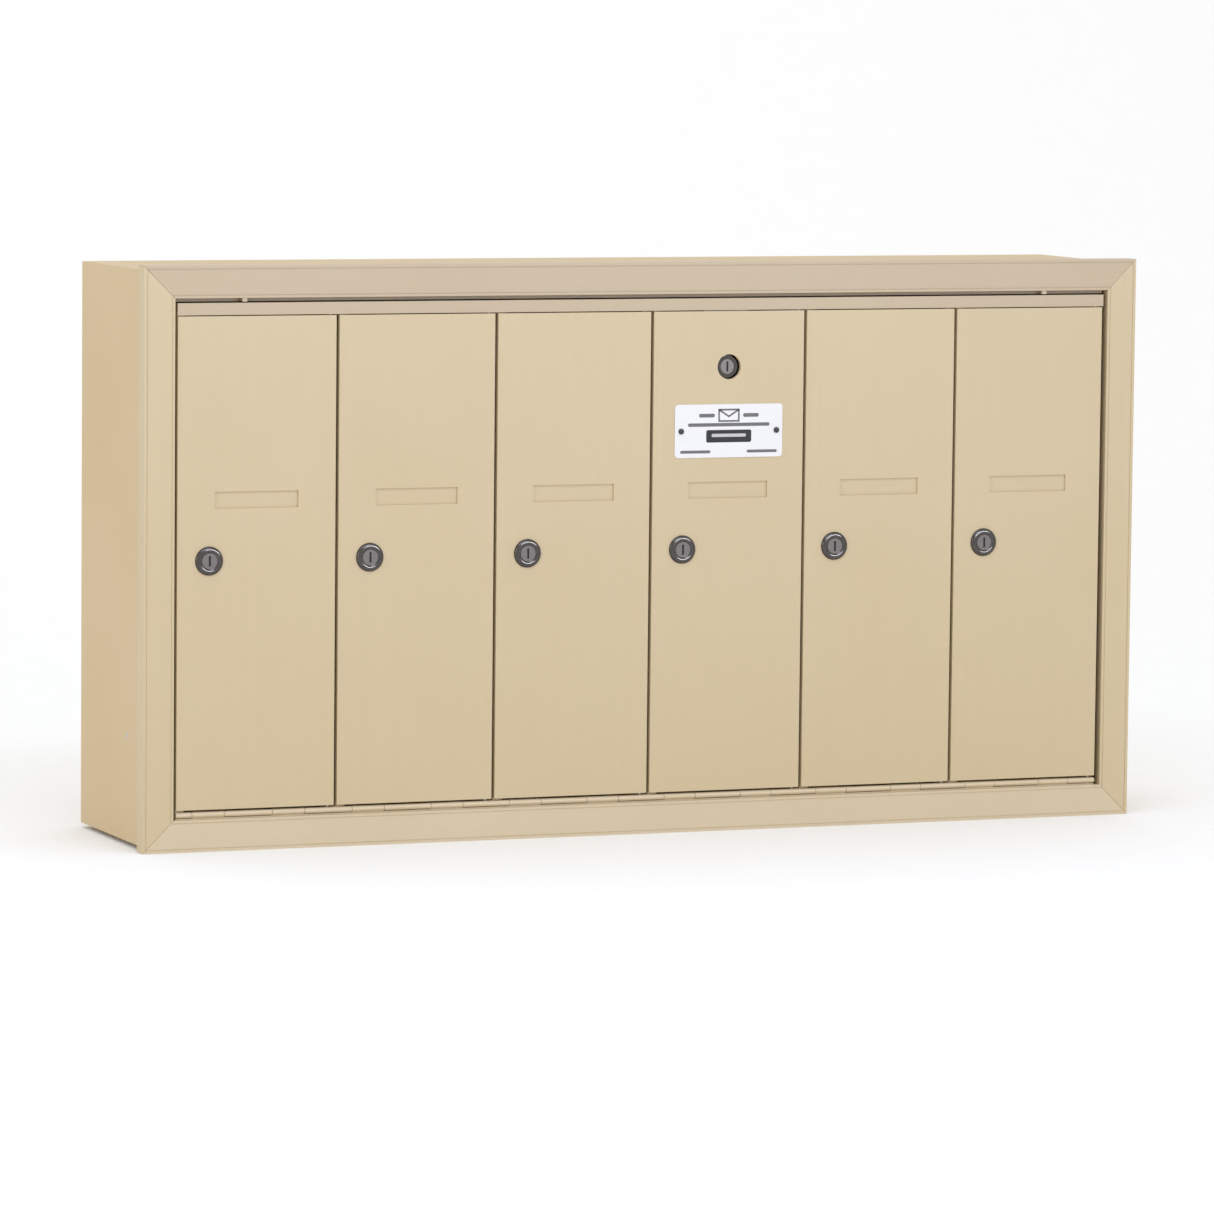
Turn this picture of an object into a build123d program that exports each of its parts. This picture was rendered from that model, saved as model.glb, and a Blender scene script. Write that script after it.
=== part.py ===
from build123d import *
import math
import os

# Recessed, front-loading cluster mailbox unit: a row of tall tenant doors hung in one master
# door, which tips forward on a piano hinge along its bottom edge.
# Units are mm. X runs along the row, +Y into the wall, +Z up. The origin is at the middle of
# the footprint, level with the trim's bottom edge.

# Driving sizes: door grid
door_count = 6
door_pitch = 139.7
door_gap = 2.6
door_h = 406.4
door_t = 3.2
left_gap = 2.6
right_gap = 4.6
top_gap = 4.0
rail_h = 10.0
rail_door_gap = 0.8
door_bar_gap = 1.6
bar_h = 4.8
bar_gap = 1.6
face_set = 1.0
rail_set = 0.8
edge_round = 0.5

# Driving sizes: enclosure and trim
unit_depth = 184.0
trim_w = 26.6
trim_t = 3.0
lip_t = 2.4
lip_depth = 15.0
return_t = 2.0
return_depth = 10.0
groove_w = 0.8
groove_deep = 0.4
mitre_gap = 0.3
case_step = 4.0
sheet_t = 1.6
flange_w = 12.0
front_flange_w = 9.0
key_w = 7.0
key_t = 1.6
key_leg = 45.0
partition_t = 1.2
partition_flange = 10.0
partition_back = 3.5

# Driving sizes: tenant door hinge
barrel_r = 2.7
barrel_merge = 0.9
pin_wall = 0.4
corner_clear = 0.34
door_pin_r = 1.2
pin_fit = 0.05
pin_in_rail = 3.0
pin_in_top = 6.0
pin_end_clear = 0.2

# Driving sizes: master door frame
post_half = 9.0
post_front_t = 2.0
post_web_t = 2.0
post_back_t = 8.4
post_side_gap = 1.3
post_door_gap = 0.6
port_r = 1.7
screw_r = 1.6
screw_head_r = 2.8
screw_head_h = 1.4
screw_len = 18.0
screw_clear = 0.1

# Driving sizes: master hinge
master_pin_r = 1.0
leaf_t = 1.2
leaf_w = 11.0
knuckle_share = 0.2
knuckle_clear = 0.4

# Driving sizes: tenant lock
lock_from_edge = 27.5
lock_rise = 2.4
bezel_r = 12.0
bezel_proud = 2.5
lock_r = 9.5
lock_len = 18.0
nut_flat_r = 12.5
nut_t = 3.0
plug_r = 6.6
plug_fit = 0.05
plug_set = 0.6
key_slot_w = 1.8
key_slot_h = 8.6
key_slot_deep = 9.0
tail_r = 4.0
tail_flat = 2.8
cam_gap = 1.0
cam_t = 2.4
cam_reach = 30.0
cam_half_w = 6.0
cam_nut_r = 5.5
cam_nut_t = 2.2
cam_nut_air = 0.1

# Driving sizes: master lock
master_door_index = 3
master_drop = 47.0
master_hole_r = 10.6
master_lock_r = 9.0
master_air = 0.3
collar_r = 11.5
collar_t = 1.6
bracket_half = 20.0
bracket_t = 2.0
bracket_below = 16.0
master_plug_r = 6.2
master_cam_reach = 36.0
strike_half = 24.0
strike_t = 2.4
strike_gap = 1.2
strike_drop = 26.0
strike_foot = 16.0

# Driving sizes: door furniture
recess_w = 72.0
recess_h = 14.0
recess_deep = 1.4
recess_top = 144.0
plate_w = 98.0
plate_h = 45.0
plate_t = 0.8
plate_corner = 3.0
plate_drop = 101.0
plate_rivet_span = 87.0
plate_rivet_r = 1.6
plate_head_r = 2.4
plate_head_h = 0.8

# Driving sizes: stay arms
stay_r = 80.0
stay_step_deg = 30.0
stay_open_deg = 90.0
stay_t = 2.0
stay_half_w = 7.0
stay_gap = 1.5
stay_air = 0.1
stud_r = 2.5
slot_half_w = 2.7
slot_end_air = 0.5
stud_head_r = 4.6
stud_head_t = 1.4
stud_base_r = 7.0
stud_base_t = 3.0

# Driving sizes: bumpers, rivets and wall holes
bumper_in = 60.0
bumper_w = 4.0
bumper_h = 3.0
bumper_deep = 6.6
rivet_r = 1.6
rivet_head_r = 3.0
rivet_head_h = 0.9
rivet_bite = 1.4
rivet_air = 0.05
back_rivet_cols = 6
side_rivet_rows = 3
wall_hole_r = 3.5
wall_span_x = 609.6
wall_span_z = 304.8

# Derived sizes
door_w = door_pitch - door_gap
opening_w = door_count * door_pitch - door_gap + left_gap + right_gap
opening_h = top_gap + rail_h + rail_door_gap + door_h + door_bar_gap + bar_h + bar_gap
unit_w = opening_w + 2 * trim_w
unit_h = opening_h + 2 * trim_w
open_x = opening_w / 2
open_z0 = trim_w
open_z1 = trim_w + opening_h
half_w = unit_w / 2
case_x = half_w - case_step
case_z0 = case_step
case_z1 = unit_h - case_step

proud = bezel_proud - face_set
y_trim = (proud - unit_depth) / 2

door_back = face_set + door_t
bar_z0 = open_z0 + bar_gap
bar_z1 = bar_z0 + bar_h
door_z0 = bar_z1 + door_bar_gap
door_z1 = door_z0 + door_h
rail_z0 = door_z1 + rail_door_gap
rail_z1 = rail_z0 + rail_h
row_x0 = -open_x + left_gap
row_x1 = open_x - right_gap

pin_past_hinge = bar_h / 2 + master_pin_r + door_pin_r + pin_wall
pin_back = max(door_t + barrel_r - barrel_merge, pin_past_hinge)
gap_swing = door_gap - corner_clear
pin_inset = (pin_back ** 2 - gap_swing ** 2) / (2 * gap_swing)
pin_d = face_set + pin_back
swing_r = pin_inset + gap_swing
post_rear = pin_d + swing_r
post_end = post_rear + post_back_t
port_d = post_rear + post_back_t / 2
post_front = door_back + post_door_gap

axis_d = face_set + bar_h / 2
axis_z = bar_z0 + bar_h / 2
knuckle_r = bar_h / 2
leaf_top = open_z0 + leaf_t

cam_d0 = post_end + cam_gap
cam_d1 = cam_d0 + cam_t
partition_d0 = cam_d1 + partition_back
lock_z = door_z0 + door_h / 2 + lock_rise

master_x = row_x0 + master_door_index * door_pitch + door_w / 2
master_z = door_z1 - master_drop
master_face = door_back + master_air
bracket_d0 = door_back + pin_back
strike_d0 = post_end + strike_gap
strike_d1 = strike_d0 + strike_t
master_cam_d0 = strike_d1 + strike_gap
master_cam_d1 = master_cam_d0 + cam_t
strike_z0 = master_z + strike_drop

stay_a_deg = math.degrees(math.asin((port_d - axis_d) / stay_r))
stay_b_deg = stay_a_deg + stay_step_deg
stay_a_z = axis_z + stay_r * math.cos(math.radians(stay_a_deg))
stay_b_z = axis_z + stay_r * math.cos(math.radians(stay_b_deg))
stay_b_d = axis_d + stay_r * math.sin(math.radians(stay_b_deg))
slot_near = 2 * stay_r * math.sin(math.radians(stay_step_deg / 2))
slot_far = 2 * stay_r * math.sin(math.radians((stay_step_deg + stay_open_deg) / 2))
stay_tilt_deg = math.degrees(math.atan2(stay_b_z - stay_a_z, stay_b_d - port_d))
left_post_x1 = row_x0 + post_half - post_side_gap
right_post_x0 = row_x1 + post_side_gap - post_half


def block(x0, x1, d0, d1, z0, z1):
    """Box from x0 to x1, from depth d0 to d1 behind the trim's face, and from z0 to z1."""
    size = Box(x1 - x0, d1 - d0, z1 - z0)
    return Pos((x0 + x1) / 2, y_trim + (d0 + d1) / 2, (z0 + z1) / 2) * size


def rod_x(x0, x1, d, z, r):
    """Cylinder along X."""
    return Pos((x0 + x1) / 2, y_trim + d, z) * Rot(0, 90, 0) * Cylinder(r, x1 - x0)


def rod_y(x, d0, d1, z, r):
    """Cylinder along Y, between two depths."""
    return Pos(x, y_trim + (d0 + d1) / 2, z) * Rot(90, 0, 0) * Cylinder(r, d1 - d0)


def rod_z(x, d, z0, z1, r):
    """Cylinder along Z."""
    return Pos(x, y_trim + d, (z0 + z1) / 2) * Cylinder(r, z1 - z0)


def door_left(index):
    return row_x0 + index * door_pitch


def pin_x(index):
    return door_left(index) + door_w - pin_inset


def spread(low, high, count):
    """Evenly spaced places from low to high."""
    step = (high - low) / (count - 1)
    return [low + step * i for i in range(count)]


def save(name, shape):
    shape.label = name
    export_step(shape, os.path.join("parts", name + ".step"))


def group(solids):
    return Compound(children=list(solids))


# Trim: four mitred lengths of one extruded section
def mitre_prism(side):
    """Trapezoid that keeps one side of the frame between its two mitre cuts, less the seam's gap."""
    g = mitre_gap / 2
    if side == "top":
        pts = [(g - half_w, unit_h), (half_w - g, unit_h), (open_x - g, open_z1), (g - open_x, open_z1)]
    if side == "bottom":
        pts = [(g - half_w, 0), (half_w - g, 0), (open_x - g, open_z0), (g - open_x, open_z0)]
    if side == "left":
        pts = [(-half_w, g), (-open_x, open_z0 + g), (-open_x, open_z1 - g), (-half_w, unit_h - g)]
    if side == "right":
        pts = [(half_w, g), (open_x, open_z0 + g), (open_x, open_z1 - g), (half_w, unit_h - g)]
    face = make_face(Plane.XZ * Polyline(*pts, close=True))
    prism = extrude(face, amount=lip_depth, dir=(0, 1, 0))
    return Pos(0, y_trim, 0) * prism


def trim_bar(side):
    """Face plate with an outer lip, an inner return and two fine grooves along its face. The top
    length also has a short hem that hangs from its return, above the master door's top rail."""
    sign = 1
    if side in ("bottom", "left"):
        sign = -1
    outer = half_w
    inner = open_x
    low = open_z0
    high = open_z1
    grooves = (lip_t, trim_w - return_t - groove_w)
    if side in ("left", "right"):
        pieces = [(inner, outer, 0, trim_t), (outer - lip_t, outer, 0, lip_depth)]
        pieces.append((inner, inner + return_t, 0, return_depth))
        cuts = [(outer - g - groove_w, outer - g, 0, groove_deep) for g in grooves]
        make = [block(*sorted((sign * a, sign * b)), c, d, 0, unit_h) for a, b, c, d in pieces]
        slots = [block(*sorted((sign * a, sign * b)), c, d, 0, unit_h) for a, b, c, d in cuts]
    if side == "top":
        pieces = [(high, unit_h, 0, trim_t), (unit_h - lip_t, unit_h, 0, lip_depth)]
        pieces.append((high, high + return_t, 0, return_depth))
        cuts = [(unit_h - g - groove_w, unit_h - g, 0, groove_deep) for g in grooves]
        make = [block(-half_w, half_w, c, d, a, b) for a, b, c, d in pieces]
        slots = [block(-half_w, half_w, c, d, a, b) for a, b, c, d in cuts]
    if side == "bottom":
        pieces = [(0, low, 0, trim_t), (0, lip_t, 0, lip_depth)]
        pieces.append((low - return_t, low, 0, return_depth))
        cuts = [(g, g + groove_w, 0, groove_deep) for g in grooves]
        make = [block(-half_w, half_w, c, d, a, b) for a, b, c, d in pieces]
        slots = [block(-half_w, half_w, c, d, a, b) for a, b, c, d in cuts]
    bar = make[0] + make[1] + make[2] - slots[0] - slots[1]
    bar &= mitre_prism(side)
    if side == "top":
        hem_x = open_x - stay_gap
        bar += block(-hem_x, hem_x, return_depth - sheet_t, return_depth, high - bumper_h, high)
    return bar


def corner_keys():
    """Flat L plates that join the trim behind each mitre."""
    keys = []
    gap_in = return_t + stay_air
    for sx in (-1, 1):
        for top in (False, True):
            x0 = open_x + gap_in
            x1 = x0 + key_w
            z_out = open_z1 + gap_in + key_w if top else open_z0 - gap_in - key_w
            z_in = z_out - key_leg if top else z_out + key_leg
            z_band = z_out - key_w if top else z_out + key_w
            xs = sorted((sx * x0, sx * x1))
            xl = sorted((sx * x1, sx * (x1 - key_leg)))
            upright = block(*xs, trim_t, trim_t + key_t, *sorted((z_out, z_in)))
            level = block(*xl, trim_t, trim_t + key_t, *sorted((z_out, z_band)))
            keys.append(upright + level)
    return group(keys)


# Enclosure: sheet panels with riveted flanges
def side_rivet_z():
    return spread(case_z0 + 4 * flange_w, case_z1 - 4 * flange_w, side_rivet_rows)


def trim_rivet_x():
    return spread(-open_x + 4 * flange_w, open_x - 4 * flange_w, back_rivet_cols)


def trim_rivet_u():
    return case_step + sheet_t + (front_flange_w - sheet_t) / 2


def side_panel(sx):
    """Pan with a web outside and flanges along all four edges."""
    z0 = case_z0 + sheet_t
    z1 = case_z1 - sheet_t
    back = unit_depth - sheet_t
    web = block(*sorted((sx * case_x, sx * (case_x - sheet_t))), trim_t, back, z0, z1)
    front_x = sorted((sx * case_x, sx * (case_x - front_flange_w)))
    deep_x = sorted((sx * case_x, sx * (case_x - flange_w)))
    front = block(*front_x, trim_t, trim_t + sheet_t, z0, z1)
    rear = block(*deep_x, back - sheet_t, back, z0, z1)
    foot = block(*deep_x, lip_depth, back, z0, z0 + sheet_t)
    head = block(*deep_x, lip_depth, back, z1 - sheet_t, z1)
    panel = web + front + rear + foot + head
    hole = rivet_r + rivet_air
    for z in side_rivet_z():
        x = sx * (half_w - trim_rivet_u())
        panel -= rod_y(x, trim_t - sheet_t, trim_t + 2 * sheet_t, z, hole)
        panel -= rod_y(sx * rivet_side_x, back - 2 * sheet_t, back + sheet_t, z, hole)
    for d in corner_rivet_d():
        panel -= rod_z(sx * rivet_side_x, d, z0 - sheet_t, z0 + 2 * sheet_t, hole)
        panel -= rod_z(sx * rivet_side_x, d, z1 - 2 * sheet_t, z1 + sheet_t, hole)
    base = stud_base_r - stud_head_r
    panel -= rod_x(*sorted((sx * (case_x + sheet_t), sx * (case_x - 2 * sheet_t))), stay_b_d, stay_b_z, base)
    return panel


rivet_side_x = case_x - sheet_t - (flange_w - sheet_t) / 2


def corner_rivet_d():
    return (4 * flange_w, unit_depth - 4 * flange_w)


def flat_panel(top):
    """Top or bottom sheet with a front and a rear flange turned into the case."""
    outer = case_z1 if top else case_z0
    inner = outer - sheet_t if top else outer + sheet_t
    turn = -1 if top else 1
    back = unit_depth - sheet_t
    clear_x = case_x - flange_w - stay_air
    sheet = block(-case_x, case_x, trim_t, back, *sorted((outer, inner)))
    front_z = sorted((outer, outer + turn * front_flange_w))
    rear_z = sorted((outer, outer + turn * flange_w))
    front = block(-clear_x, clear_x, trim_t, trim_t + sheet_t, *front_z)
    rear = block(-clear_x, clear_x, back - sheet_t, back, *rear_z)
    panel = sheet + front + rear
    hole = rivet_r + rivet_air
    for x in trim_rivet_x():
        z = outer + turn * (trim_rivet_u() - case_step)
        panel -= rod_y(x, trim_t - sheet_t, trim_t + 2 * sheet_t, z, hole)
        z = outer + turn * (case_x - rivet_side_x)
        panel -= rod_y(x, back - 2 * sheet_t, back + sheet_t, z, hole)
    for x in (-rivet_side_x, rivet_side_x):
        for d in corner_rivet_d():
            panel -= rod_z(x, d, *sorted((outer - 2 * sheet_t, outer + 2 * sheet_t)), hole)
    for x, d in partition_rivet_xd():
        panel -= rod_z(x, d, *sorted((outer - 2 * sheet_t, outer + 2 * sheet_t)), hole)
    if top:
        for x in strike_rivet_x():
            panel -= rod_z(x, strike_rivet_d, outer - 2 * sheet_t, outer + sheet_t, hole)
    return panel


def back_panel():
    """Rear sheet with rivet holes and four wall fixing holes."""
    panel = block(-case_x, case_x, unit_depth - sheet_t, unit_depth, case_z0, case_z1)
    hole = rivet_r + rivet_air
    d0 = unit_depth - 2 * sheet_t
    d1 = unit_depth + sheet_t
    for x in trim_rivet_x():
        for z in (case_z0 + case_x - rivet_side_x, case_z1 - case_x + rivet_side_x):
            panel -= rod_y(x, d0, d1, z, hole)
    for x in (-rivet_side_x, rivet_side_x):
        for z in side_rivet_z():
            panel -= rod_y(x, d0, d1, z, hole)
    for x in (-wall_span_x / 2, wall_span_x / 2):
        for z in (unit_h / 2 - wall_span_z / 2, unit_h / 2 + wall_span_z / 2):
            panel -= rod_y(x, d0, d1, z, wall_hole_r)
    return panel


def partition_x(index):
    """Middle of the gap to the right of a door."""
    return door_left(index) + door_w + door_gap / 2


def partition_rivet_xd():
    places = []
    for index in range(door_count - 1):
        for d in (partition_d0 + 2 * flange_w, unit_depth - 3 * flange_w):
            places.append((partition_x(index) + partition_flange / 2, d))
    return places


def partition(index):
    """Sheet wall between two compartments, with a flange at its foot and head."""
    x = partition_x(index)
    z0 = case_z0 + sheet_t
    z1 = case_z1 - sheet_t
    back = unit_depth - 2 * sheet_t - stay_air
    x_far = x + partition_flange
    wall = block(x - partition_t / 2, x + partition_t / 2, partition_d0, back, z0, z1)
    short = unit_depth - 2 * flange_w
    foot = block(x, x_far, partition_d0 + flange_w, short, z0, z0 + partition_t)
    head = block(x, x_far, partition_d0 + flange_w, short, z1 - partition_t, z1)
    panel = wall + foot + head
    for rx, d in partition_rivet_xd():
        if abs(rx - x) < partition_flange:
            panel -= rod_z(rx, d, z0 - sheet_t, z0 + 2 * sheet_t, rivet_r + rivet_air)
            panel -= rod_z(rx, d, z1 - 2 * sheet_t, z1 + sheet_t, rivet_r + rivet_air)
    return panel


def rivet(axis, x, d, z, tail, head):
    """Rivet whose shank runs from tail to head along an axis, with its head past the head end."""
    turn = 1 if head > tail else -1
    top = head + turn * rivet_head_h
    if axis == "y":
        shank = rod_y(x, *sorted((tail, head)), z, rivet_r)
        cap = rod_y(x, *sorted((head, top)), z, rivet_head_r)
    if axis == "z":
        shank = rod_z(x, d, *sorted((tail, head)), rivet_r)
        cap = rod_z(x, d, *sorted((head, top)), rivet_head_r)
    return shank + cap


def enclosure_rivets():
    """All rivets of the enclosure: panel seams, trim, partitions and the lock strike."""
    found = []
    back_in = unit_depth - 2 * sheet_t
    for x in trim_rivet_x():
        for outer, turn in ((case_z0, 1), (case_z1, -1)):
            z = outer + turn * (case_x - rivet_side_x)
            found.append(rivet("y", x, 0, z, unit_depth, back_in))
            z = outer + turn * (trim_rivet_u() - case_step)
            found.append(rivet("y", x, 0, z, trim_t - rivet_bite, trim_t + sheet_t))
    for sx in (-1, 1):
        for z in side_rivet_z():
            found.append(rivet("y", sx * rivet_side_x, 0, z, unit_depth, back_in))
            x = sx * (half_w - trim_rivet_u())
            found.append(rivet("y", x, 0, z, trim_t - rivet_bite, trim_t + sheet_t))
        for d in corner_rivet_d():
            x = sx * rivet_side_x
            found.append(rivet("z", x, d, 0, case_z0, case_z0 + 2 * sheet_t))
            found.append(rivet("z", x, d, 0, case_z1, case_z1 - 2 * sheet_t))
    for x, d in partition_rivet_xd():
        found.append(rivet("z", x, d, 0, case_z0, case_z0 + sheet_t + partition_t))
        found.append(rivet("z", x, d, 0, case_z1, case_z1 - sheet_t - partition_t))
    for x in strike_rivet_x():
        found.append(rivet("z", x, strike_rivet_d, 0, case_z1, case_z1 - sheet_t - strike_t))
    return group(found)


def drill_trim(bar, side):
    """Blind holes for the rivets in the back of a trim length, and the hinge leaf's holes."""
    hole = rivet_r + rivet_air
    d0 = trim_t - rivet_bite
    if side in ("top", "bottom"):
        z = trim_rivet_u() if side == "bottom" else unit_h - trim_rivet_u()
        for x in trim_rivet_x():
            bar -= rod_y(x, d0, trim_t + sheet_t, z, hole)
    if side in ("left", "right"):
        sx = -1 if side == "left" else 1
        for z in side_rivet_z():
            bar -= rod_y(sx * (half_w - trim_rivet_u()), d0, trim_t + sheet_t, z, hole)
    if side == "bottom":
        for x in leaf_rivet_x():
            bar -= rod_z(x, leaf_rivet_d, open_z0 - 2 * return_t, open_z0 + leaf_t, hole)
    return bar


# Master hinge: a piano hinge whose moving knuckles are part of the master door's bottom bar
def knuckle_x():
    """Middles of the fixed knuckles: two to each door, clear of the door pins."""
    places = []
    for index in range(door_count):
        places.append(pin_x(index) - door_pitch / 4)
        places.append(pin_x(index) - 3 * door_pitch / 4)
    return places


def leaf_rivet_x():
    return [pin_x(i) - door_pitch / 2 for i in range(door_count)]


leaf_rivet_d = trim_t + (return_depth - trim_t) / 2


def fixed_leaf():
    """Flat leaf on the bottom trim's return, with knuckles standing up to the hinge axis."""
    leaf = block(row_x0, row_x1, trim_t, trim_t + leaf_w, open_z0, leaf_top)
    half = door_pitch * knuckle_share / 2
    for x in knuckle_x():
        web = block(x - half, x + half, axis_d - leaf_t / 4, axis_d + knuckle_r, leaf_top - leaf_t / 2, axis_z)
        leaf += rod_x(x - half, x + half, axis_d, axis_z, knuckle_r) + web
    leaf -= rod_x(row_x0, row_x1, axis_d, axis_z, master_pin_r + pin_fit)
    for x in leaf_rivet_x():
        leaf -= rod_z(x, leaf_rivet_d, open_z0 - leaf_t, leaf_top + leaf_t, rivet_r + rivet_air)
    return leaf


def leaf_rivets():
    """Rivets that finish flush with the leaf's top, with heads under the trim's return."""
    return [rivet("z", x, leaf_rivet_d, 0, leaf_top, open_z0 - return_t) for x in leaf_rivet_x()]


def hinge_pin():
    return rod_x(row_x0 + pin_end_clear, row_x1 - pin_end_clear, axis_d, axis_z, master_pin_r)


# Master door frame
def post_screw_x():
    places = [(row_x0 + left_post_x1) / 2]
    places += [partition_x(i) for i in range(door_count - 1)]
    places.append((right_post_x0 + row_x1 + post_side_gap) / 2)
    return places


def bottom_bar():
    """Bar with a round hinge nose along its front, cut away at each fixed knuckle."""
    bar = block(row_x0, row_x1, axis_d, post_end, bar_z0, bar_z1)
    bar += rod_x(row_x0, row_x1, axis_d, axis_z, knuckle_r)
    half = door_pitch * knuckle_share / 2 + knuckle_clear
    reach = axis_d + knuckle_r + knuckle_clear
    for x in knuckle_x():
        bar -= block(x - half, x + half, 0, reach, bar_z0 - bar_gap, bar_z1 + bar_gap)
    bar -= rod_x(row_x0 - bar_gap, row_x1 + bar_gap, axis_d, axis_z, master_pin_r + pin_fit)
    for index in range(door_count):
        bar -= rod_z(pin_x(index), pin_d, bar_z1 - pin_in_rail - pin_end_clear, bar_z1 + bar_gap, door_pin_r + pin_fit)
    for x in post_screw_x():
        bar -= rod_z(x, port_d, bar_z0 - bar_gap, bar_z1 + bar_gap, screw_r + screw_clear)
        bar -= rod_z(x, port_d, bar_z0 - bar_gap, bar_z0 + screw_head_h, screw_head_r + screw_clear)
    return bar


def top_rail():
    """Solid rail above the doors, with sockets for the door pins and the post screws."""
    rail = block(row_x0, row_x1 + post_side_gap, face_set + rail_set, post_end, rail_z0, rail_z1)
    for index in range(door_count):
        rail -= rod_z(pin_x(index), pin_d, rail_z0 - bar_gap, rail_z0 + pin_in_top + pin_end_clear, door_pin_r + pin_fit)
    for x in post_screw_x():
        rail -= rod_z(x, port_d, rail_z0 - bar_gap, rail_z1 + bar_gap, screw_r + screw_clear)
        rail -= rod_z(x, port_d, rail_z1 - screw_head_h, rail_z1 + bar_gap, screw_head_r + screw_clear)
    for x in bracket_screw_x():
        rail -= rod_z(x, port_d, rail_z0 - bar_gap, rail_z0 + rail_h / 2 + pin_end_clear, screw_r + screw_clear)
    return rail


def post(x0, x1, has_flange):
    """Upright of the master door: a rear bar with a screw port, and a web with a front flange."""
    bar = block(x0, x1, post_rear, post_end, bar_z1, rail_z0)
    if has_flange:
        bar += block(x1 - post_web_t, x1, post_front, post_rear, bar_z1, rail_z0)
        front_x0 = x1 - post_half + post_side_gap
        bar += block(front_x0, x1, post_front, post_front + post_front_t, bar_z1, rail_z0)
    return bar


def mullion(index):
    x = partition_x(index)
    bar = post(x - post_half, x + post_half, True)
    return bar - rod_z(x, port_d, bar_z1 - bar_gap, rail_z0 + bar_gap, port_r)


def left_stile():
    bar = post(row_x0, left_post_x1, True)
    x = (row_x0 + left_post_x1) / 2
    bar -= rod_z(x, port_d, bar_z1 - bar_gap, rail_z0 + bar_gap, port_r)
    return bar - rod_x(row_x0 - bar_gap, left_post_x1 + bar_gap, port_d, stay_a_z, stud_r + stay_air)


def right_stile():
    x1 = row_x1 + post_side_gap
    bar = post(right_post_x0, x1, False)
    x = (right_post_x0 + x1) / 2
    bar -= rod_z(x, port_d, bar_z1 - bar_gap, rail_z0 + bar_gap, port_r)
    return bar - rod_x(right_post_x0 - bar_gap, x1 + bar_gap, port_d, stay_a_z, stud_r + stay_air)


def frame_fasteners():
    """Countersunk post screws, the lock bracket's screws and the stay arms' shoulder rivets."""
    found = []
    for x in post_screw_x():
        low = rod_z(x, port_d, bar_z0, bar_z0 + screw_len, screw_r)
        found.append(low + rod_z(x, port_d, bar_z0, bar_z0 + screw_head_h, screw_head_r))
        high = rod_z(x, port_d, rail_z1 - screw_len, rail_z1, screw_r)
        found.append(high + rod_z(x, port_d, rail_z1 - screw_head_h, rail_z1, screw_head_r))
    for x in bracket_screw_x():
        z = rail_z0 - bracket_t
        shank = rod_z(x, port_d, z, rail_z0 + rail_h / 2, screw_r)
        found.append(shank + rod_z(x, port_d, z - screw_head_h, z, screw_head_r))
    found.append(stay_pivot(-1, row_x0, left_post_x1))
    found.append(stay_pivot(1, row_x1 + post_side_gap, right_post_x0))
    return group(found)


def stay_pivot(sx, x_out, x_in):
    """Shoulder rivet through a stile: shank, spacer collar and retaining head."""
    collar_end = x_in - sx * (stay_gap - stay_air)
    arm_far = x_in - sx * (stay_gap + stay_t + stay_air)
    head_end = arm_far - sx * stud_head_t
    shank = rod_x(*sorted((x_out, head_end)), port_d, stay_a_z, stud_r)
    collar = rod_x(*sorted((x_in, collar_end)), port_d, stay_a_z, stud_head_r)
    head = rod_x(*sorted((arm_far, head_end)), port_d, stay_a_z, stud_head_r)
    return shank + collar + head


def door_pins():
    pins = []
    for index in range(door_count):
        x = pin_x(index)
        pins.append(rod_z(x, pin_d, bar_z1 - pin_in_rail, rail_z0 + pin_in_top, door_pin_r))
    return group(pins)


# Tenant doors
def lock_x(index):
    return door_left(index) + lock_from_edge


def door_panel(index):
    """Flat extruded door with a hinge barrel behind its right edge and a shallow card recess."""
    x0 = door_left(index)
    plate = block(x0, x0 + door_w, face_set, door_back, door_z0, door_z1)
    front = plate.faces().sort_by(Axis.Y)[0]
    plate = fillet(front.edges(), edge_round)
    plate += rod_z(pin_x(index), pin_d, door_z0, door_z1, barrel_r)
    plate -= rod_z(pin_x(index), pin_d, door_z0 - bar_gap, door_z1 + bar_gap, door_pin_r + pin_fit)
    plate -= rod_y(lock_x(index), 0, 2 * door_back, lock_z, lock_r + stay_air)
    mid = x0 + door_w / 2
    z1 = door_z1 - recess_top
    plate -= block(mid - recess_w / 2, mid + recess_w / 2, 0, face_set + recess_deep, z1 - recess_h, z1)
    if index == master_door_index:
        plate -= rod_y(mid, 0, 2 * door_back, master_z, master_hole_r)
        for x in (mid - plate_rivet_span / 2, mid + plate_rivet_span / 2):
            z = door_z1 - plate_drop
            plate -= rod_y(x, 0, 2 * door_back, z, plate_rivet_r + rivet_air)
    return plate


def hex_nut(x, z, d0, d1, flat_r, bore_r):
    ring = extrude(Plane.XZ * RegularPolygon(flat_r, 6, major_radius=False), amount=d1 - d0, dir=(0, 1, 0))
    nut = Pos(x, y_trim + d0, z) * ring
    return nut - rod_y(x, d0 - nut_t, d1 + nut_t, z, bore_r)


def lock_housing(index):
    """Flanged lock barrel through the door, and the hex nut that clamps it from behind."""
    x = lock_x(index)
    bezel = rod_y(x, face_set - bezel_proud, face_set, lock_z, bezel_r)
    front = bezel.faces().sort_by(Axis.Y)[0]
    bezel = fillet(front.edges(), bezel_proud / 2)
    barrel = bezel + rod_y(x, face_set, face_set + lock_len, lock_z, lock_r)
    barrel -= rod_y(x, -bezel_proud, face_set + lock_len + lock_r, lock_z, plug_r + plug_fit)
    nut = hex_nut(x, lock_z, door_back, door_back + nut_t, nut_flat_r, lock_r + stay_air)
    return group([barrel, nut])


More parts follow.
